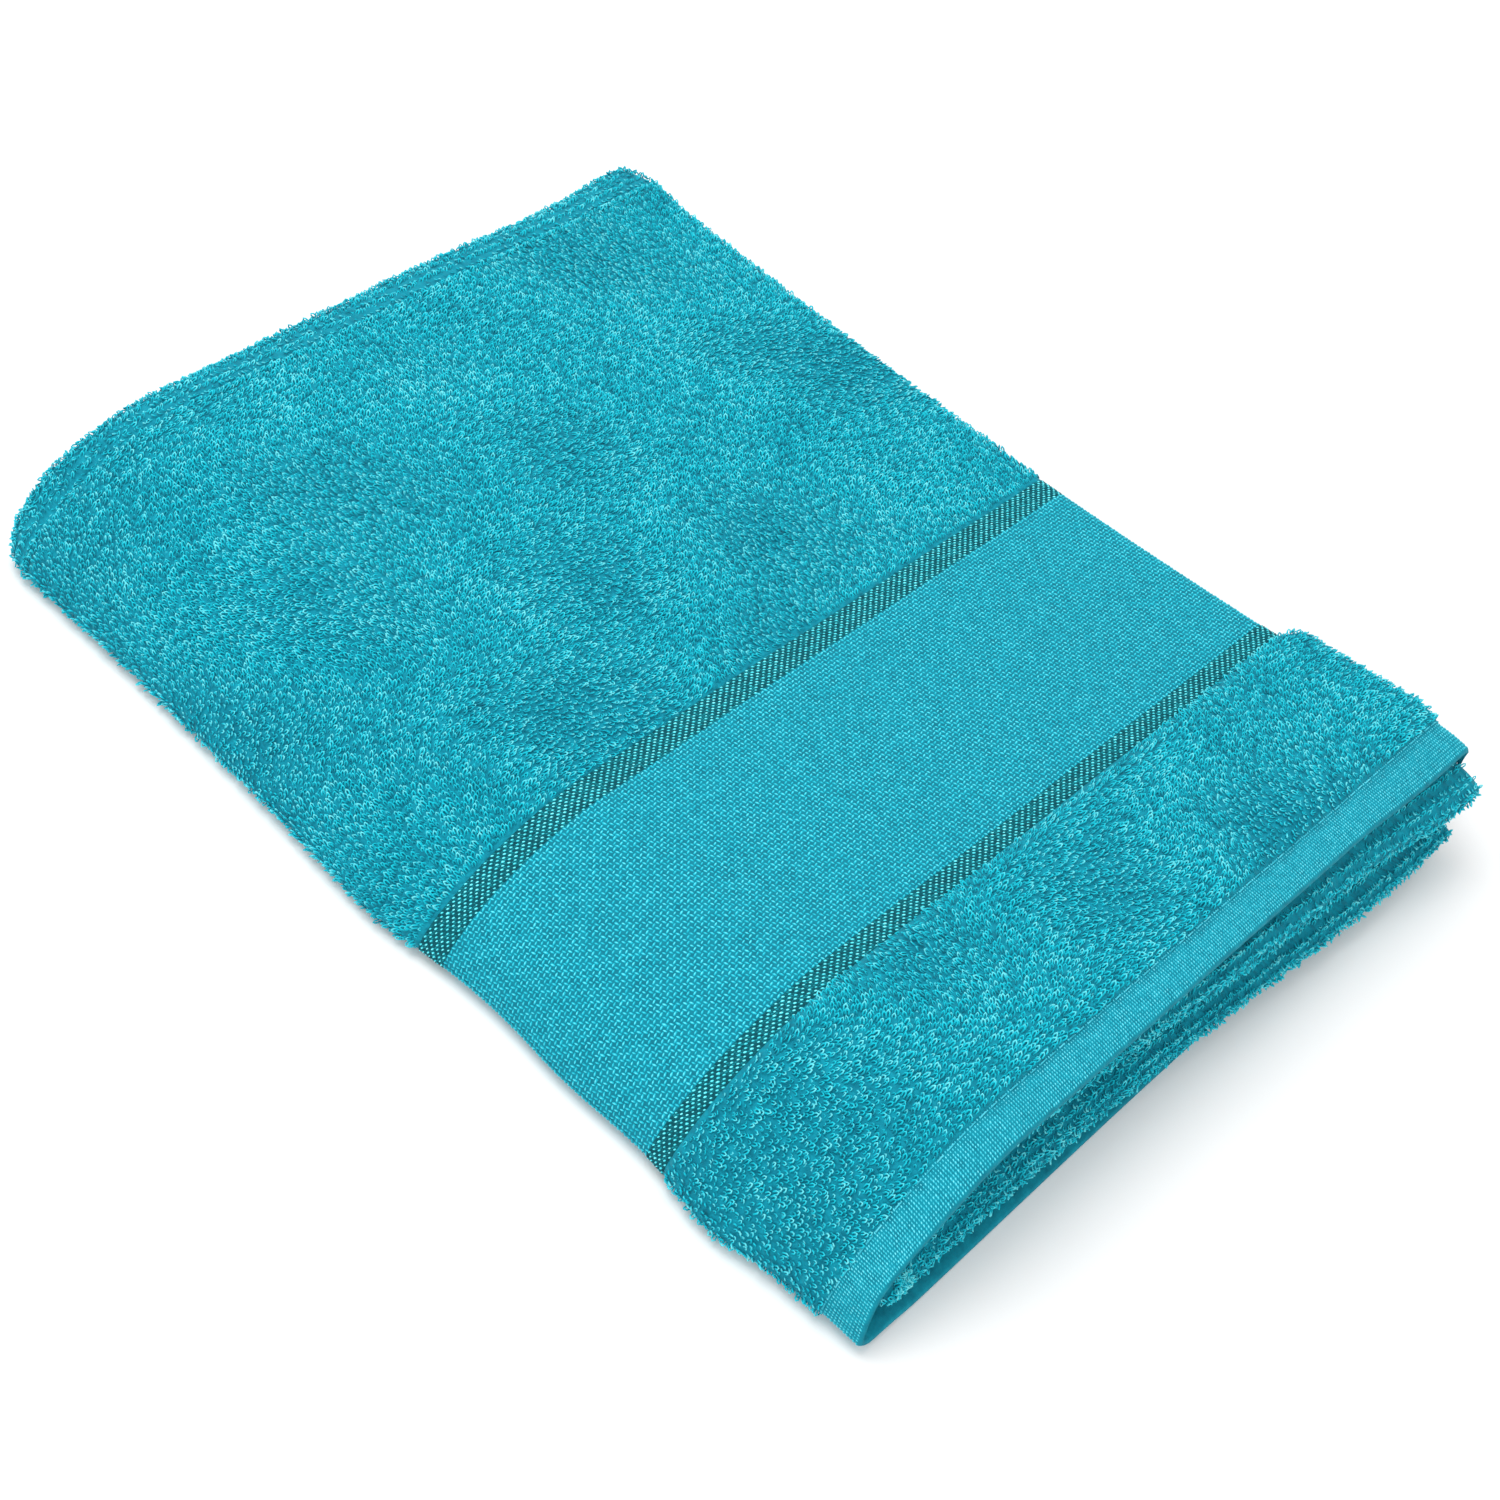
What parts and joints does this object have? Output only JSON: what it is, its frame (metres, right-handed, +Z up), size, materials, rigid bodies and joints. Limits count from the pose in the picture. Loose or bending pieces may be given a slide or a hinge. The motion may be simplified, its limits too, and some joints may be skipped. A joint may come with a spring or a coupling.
{
  "type": "folded bath towel",
  "caption": "Terry bath towel folded in thirds and then lengthwise, with a flat-woven border between two accent stripes and a stitched end hem; opens like a book.",
  "frame": {"origin": "centre of the folded towel's footprint, on the surface it lies on", "axes": "+X along the folded length towards the hemmed end, -Y towards the lengthwise fold, +Z up"},
  "size_m": [0.4746, 0.35, 0.0558],
  "materials": {
    "terry_pile": "looped cotton pile, matt",
    "border_weave": "flat basket weave, soft sheen",
    "accent_stripe": "dark ground with bright float dots",
    "hem_weave": "flat weave, soft sheen",
    "sewing_thread": "twisted thread, slight sheen"
  },
  "bodies": {
    "lower_half": {"lower_pile_field": "terry_pile", "lower_wide_stripe": "accent_stripe", "lower_border": "border_weave", "lower_narrow_stripe": "accent_stripe", "lower_end_pile": "terry_pile", "lower_end_hem": "hem_weave", "lower_back_turn": "terry_pile", "lower_middle_layer": "terry_pile", "lower_front_turn": "terry_pile", "lower_inner_pile_field": "terry_pile", "lower_inner_wide_stripe": "accent_stripe", "lower_inner_border": "border_weave", "lower_inner_narrow_stripe": "accent_stripe", "lower_inner_end_pile": "terry_pile", "lower_inner_end_hem": "hem_weave", "lower_hem_stitching": "sewing_thread", "lower_side_hem": "hem_weave", "lower_middle_side_hem": "hem_weave", "lower_inner_side_hem": "hem_weave", "fold_pile_field": "terry_pile", "fold_wide_stripe": "accent_stripe", "fold_border": "border_weave", "fold_narrow_stripe": "accent_stripe", "fold_end_pile": "terry_pile", "fold_end_hem": "hem_weave", "fold_back_turn": "terry_pile", "fold_middle_layer": "terry_pile", "fold_front_turn": "terry_pile", "fold_inner_pile_field": "terry_pile", "fold_inner_wide_stripe": "accent_stripe", "fold_inner_border": "border_weave", "fold_inner_narrow_stripe": "accent_stripe", "fold_inner_end_pile": "terry_pile", "fold_inner_end_hem": "hem_weave", "fold_hem_stitching": "sewing_thread"},
    "upper_half": {"upper_pile_field": "terry_pile", "upper_wide_stripe": "accent_stripe", "upper_border": "border_weave", "upper_narrow_stripe": "accent_stripe", "upper_end_pile": "terry_pile", "upper_end_hem": "hem_weave", "upper_back_turn": "terry_pile", "upper_middle_layer": "terry_pile", "upper_front_turn": "terry_pile", "upper_inner_pile_field": "terry_pile", "upper_inner_wide_stripe": "accent_stripe", "upper_inner_border": "border_weave", "upper_inner_narrow_stripe": "accent_stripe", "upper_inner_end_pile": "terry_pile", "upper_inner_end_hem": "hem_weave", "upper_hem_stitching": "sewing_thread", "upper_side_hem": "hem_weave", "upper_middle_side_hem": "hem_weave", "upper_inner_side_hem": "hem_weave"}
  },
  "joints": [
    {"name": "lengthwise_fold", "type": "hinge", "parent": "lower_half", "child": "upper_half", "pos_m": [0, -0.1471, 0.0279], "axis": [1, 0, 0], "range_deg": [0, 180], "deforming": ["fold_pile_field", "fold_wide_stripe", "fold_border", "fold_narrow_stripe", "fold_end_pile", "fold_end_hem", "fold_back_turn", "fold_middle_layer", "fold_front_turn", "fold_inner_pile_field", "fold_inner_wide_stripe", "fold_inner_border", "fold_inner_narrow_stripe", "fold_inner_end_pile", "fold_inner_end_hem", "fold_hem_stitching"]}
  ]
}
